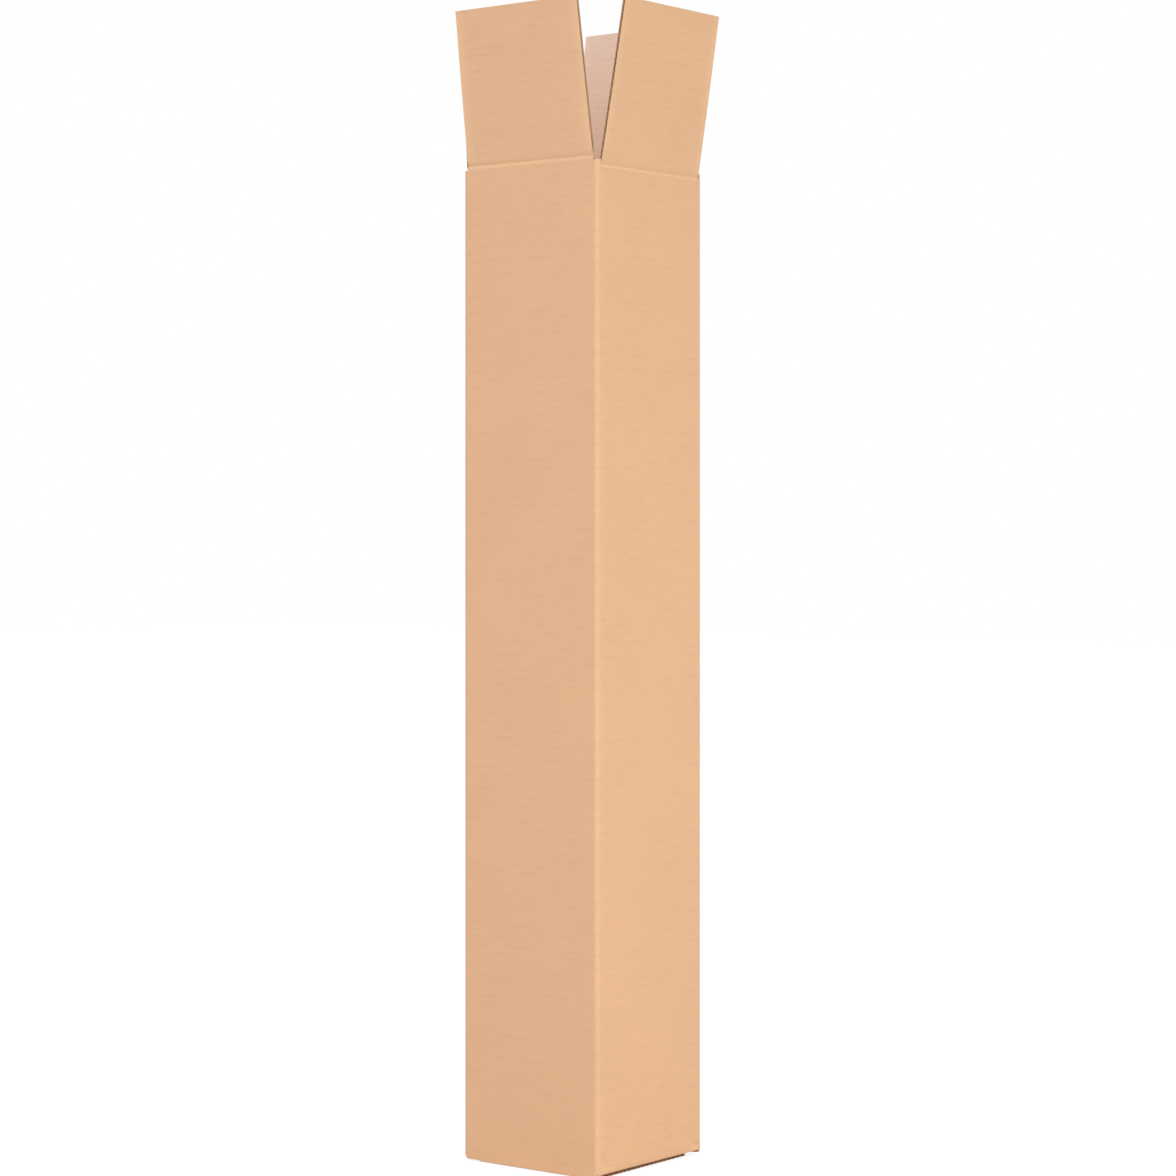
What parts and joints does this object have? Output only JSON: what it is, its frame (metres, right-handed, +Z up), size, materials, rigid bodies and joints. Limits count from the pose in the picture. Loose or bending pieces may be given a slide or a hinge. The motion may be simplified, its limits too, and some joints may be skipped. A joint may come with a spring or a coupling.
{
  "type": "folding mailing tube",
  "caption": "Tall square mailing tube of plain corrugated board, folded from one sheet, standing on its closed end with the top flaps open.",
  "frame": {"origin": "the middle of the tube's square section, on the face that it stands on", "axes": "+Z up along the tube, -Y out of the front panel, +X out of the right panel; the glued joint is at the -X, +Y corner"},
  "size_m": [0.1843, 0.1873, 1.0091],
  "materials": {
    "kraft_board": "matte brown kraft liner over open flutes"
  },
  "bodies": {
    "carton": {"tube_body": "kraft_board"},
    "front_flap": {"top_flap_front": "kraft_board"},
    "right_flap": {"top_flap_right": "kraft_board"},
    "back_flap": {"top_flap_back": "kraft_board"},
    "left_flap": {"top_flap_left": "kraft_board"},
    "base_flap": {"bottom_flap_front": "kraft_board"}
  },
  "joints": [
    {"name": "front_flap_hinge", "type": "hinge", "parent": "carton", "child": "front_flap", "pos_m": [0, -0.0744, 0.8743], "axis": [1, 0, 0], "range_deg": [-98.5, 141.5]},
    {"name": "right_flap_hinge", "type": "hinge", "parent": "carton", "child": "right_flap", "pos_m": [0.0744, 0, 0.8673], "axis": [0, 1, 0], "range_deg": [-100, 140]},
    {"name": "back_flap_hinge", "type": "hinge", "parent": "carton", "child": "back_flap", "pos_m": [0, 0.0744, 0.8778], "axis": [-1, 0, 0], "range_deg": [-97.6, 142.4]},
    {"name": "left_flap_hinge", "type": "hinge", "parent": "carton", "child": "left_flap", "pos_m": [-0.0744, 0, 0.8708], "axis": [0, -1, 0], "range_deg": [-94, 146]},
    {"name": "base_flap_hinge", "type": "hinge", "parent": "carton", "child": "base_flap", "pos_m": [0, -0.0744, 0.0006], "axis": [-1, 0, 0], "range_deg": [0, 240]}
  ]
}
